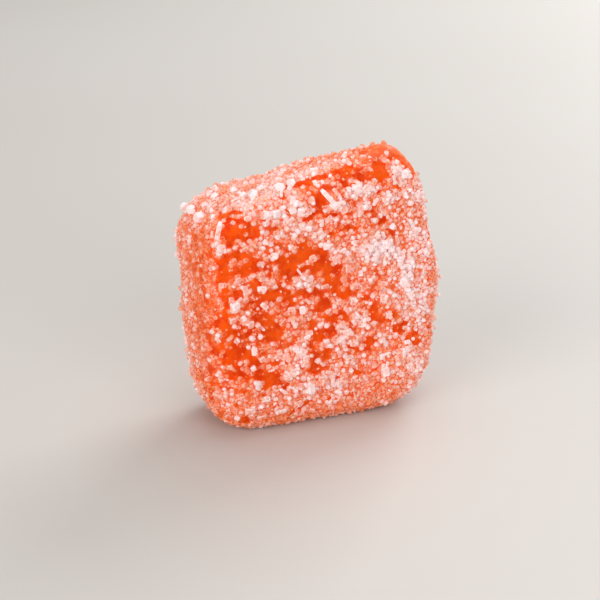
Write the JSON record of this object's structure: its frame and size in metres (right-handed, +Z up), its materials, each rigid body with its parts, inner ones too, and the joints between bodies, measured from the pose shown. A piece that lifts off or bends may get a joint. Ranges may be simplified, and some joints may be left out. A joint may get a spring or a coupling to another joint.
{
  "type": "sour gummy candy",
  "caption": "Soft squared block of sugared jelly candy that stands on one narrow side, with a slanted top and a swollen right side.",
  "frame": {"origin": "centre of the candy's bounding box in plan, at the level of the flat foot it stands on", "axes": "+Z up, +X to the right along the broad face, -Y out of the broad face shown in the picture"},
  "size_m": [0.0208, 0.0112, 0.0225],
  "materials": {
    "jelly": "soft set fruit jelly, saturated orange and slightly see-through, with a damp satin skin under the sugar",
    "sugar": "clear to milky sugar crystals with flat shiny facets, tinted pale salmon by the jelly beneath"
  },
  "bodies": {
    "root": {"gummy_candy": "jelly"}
  },
  "joints": []
}
